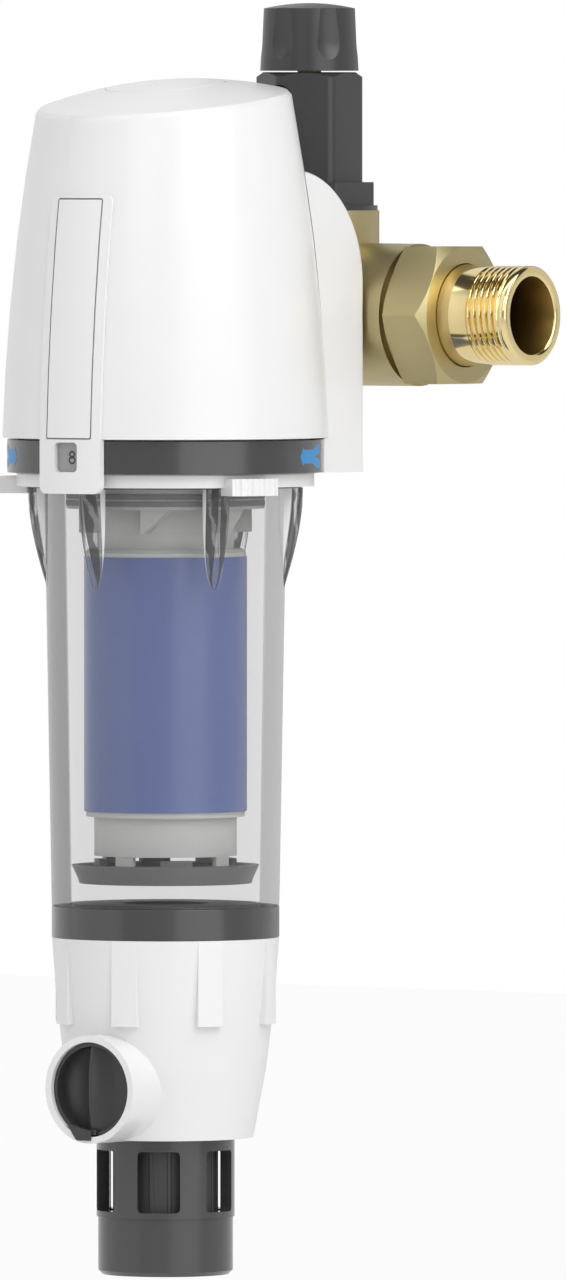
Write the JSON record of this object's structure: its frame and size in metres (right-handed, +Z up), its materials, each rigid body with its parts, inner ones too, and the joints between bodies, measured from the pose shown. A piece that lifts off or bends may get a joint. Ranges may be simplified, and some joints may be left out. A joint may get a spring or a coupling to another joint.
{
  "type": "backwash filter with pressure reducer",
  "caption": "In-line backwash water filter: clear bowl with mesh insert, hooded head, brass unions, pressure reducer, backwash knob and drain spigot.",
  "frame": {"origin": "centre of the mouth of the drain spigot, on the filter's axis", "axes": "+Z up along the filter's axis, -Y towards the front plate, +X along the pipe to the outlet"},
  "size_m": [0.1836, 0.1646, 0.4243],
  "materials": {
    "white_plastic": "satin moulded",
    "pale_plastic": "moulded",
    "dark_plastic": "fine satin",
    "black_plastic": "satin",
    "clear_bowl": "clear moulded plastic",
    "blue_mesh": "fine woven mesh",
    "cast_brass": "blasted and machined",
    "bright_brass": "turned and polished",
    "steel": "drawn or turned",
    "seal_rubber": "black rubber"
  },
  "bodies": {
    "filter_body": {"drain_spigot": "dark_plastic", "drain_nozzle": "dark_plastic", "lower_housing": "white_plastic", "ball_seats": "pale_plastic", "stem_gland": "pale_plastic", "lower_ring": "dark_plastic", "seat_plate": "dark_plastic", "seat_plate_seal": "seal_rubber", "bowl": "clear_bowl", "retaining_clip": "steel", "slip_washer": "dark_plastic", "head_body": "pale_plastic", "spigot_seals": "seal_rubber", "insert_seal": "seal_rubber", "flange_screws": "steel", "port_gasket": "seal_rubber", "hood": "white_plastic", "hood_cap": "white_plastic", "front_plate": "white_plastic", "label_panel": "white_plastic", "number_plate": "pale_plastic", "rear_cover": "white_plastic", "brass_body": "cast_brass", "union_tail_right": "bright_brass", "union_tail_left": "bright_brass", "union_gaskets": "seal_rubber", "valve_seat": "cast_brass", "bonnet": "black_plastic", "insert_spring": "steel", "main_spring": "steel"},
    "backwash_valve": {"backwash_knob": "dark_plastic", "valve_stem": "steel", "drain_ball": "steel"},
    "lock_ring": {"lock_ring": "white_plastic"},
    "month_ring": {"month_ring": "dark_plastic"},
    "filter_insert": {"funnel_ring": "dark_plastic", "cage_base": "pale_plastic", "mesh_cage": "pale_plastic", "filter_mesh": "blue_mesh", "insert_cap": "pale_plastic", "vane_ring": "pale_plastic", "insert_collar": "pale_plastic"},
    "spray_rotor": {"spray_rotor": "pale_plastic"},
    "union_nut_right": {"union_nut_right": "cast_brass"},
    "union_nut_left": {"union_nut_left": "cast_brass"},
    "setting_knob": {"setting_knob": "black_plastic", "setting_spindle": "cast_brass"},
    "spring_plate": {"spring_plate": "cast_brass"},
    "reducer_piston": {"reducer_piston": "cast_brass", "piston_seal": "seal_rubber"}
  },
  "joints": [
    {"name": "backwash_turn", "type": "hinge", "parent": "filter_body", "child": "backwash_valve", "pos_m": [0, -0.035, 0.0632], "axis": [0, -1, 0], "range_deg": [0, 90]},
    {"name": "lock_ring_turn", "type": "hinge", "parent": "filter_body", "child": "lock_ring", "pos_m": [0, 0, 0.265], "axis": [0, 0, 1], "range_deg": [0, 40]},
    {"name": "month_ring_turn", "type": "hinge", "parent": "filter_body", "child": "month_ring", "pos_m": [0, 0, 0.273], "axis": [0, 0, 1], "continuous": true},
    {"name": "insert_slide", "type": "slide", "parent": "filter_body", "child": "filter_insert", "axis": [0, 0, -1], "range_m": [0, 0.0062], "stiffness_N_per_m": 400, "springref_m": -0.01, "deforming": ["insert_spring"]},
    {"name": "rotor_spin", "type": "hinge", "parent": "filter_insert", "child": "spray_rotor", "pos_m": [0, 0, 0.155], "axis": [0, 0, 1], "continuous": true},
    {"name": "union_nut_right_turn", "type": "hinge", "parent": "filter_body", "child": "union_nut_right", "pos_m": [0.05, 0.0826, 0.3195], "axis": [1, 0, 0], "continuous": true},
    {"name": "union_nut_left_turn", "type": "hinge", "parent": "filter_body", "child": "union_nut_left", "pos_m": [-0.05, 0.0826, 0.3195], "axis": [-1, 0, 0], "continuous": true},
    {"name": "setting_knob_turn", "type": "hinge", "parent": "filter_body", "child": "setting_knob", "pos_m": [0, 0.0826, 0.4], "axis": [0, 0, 1], "range_deg": [-720, 720]},
    {"name": "spring_plate_slide", "type": "slide", "parent": "filter_body", "child": "spring_plate", "axis": [0, 0, 1], "range_m": [-0.003, 0.003], "deforming": ["main_spring"]},
    {"name": "piston_slide", "type": "slide", "parent": "filter_body", "child": "reducer_piston", "axis": [0, 0, 1], "range_m": [0, 0.002], "stiffness_N_per_m": 500, "springref_m": -0.002}
  ],
  "couplings": [
    {"joint": "spring_plate_slide", "follows": "setting_knob_turn", "m_per_rad": 0.00023873}
  ]
}
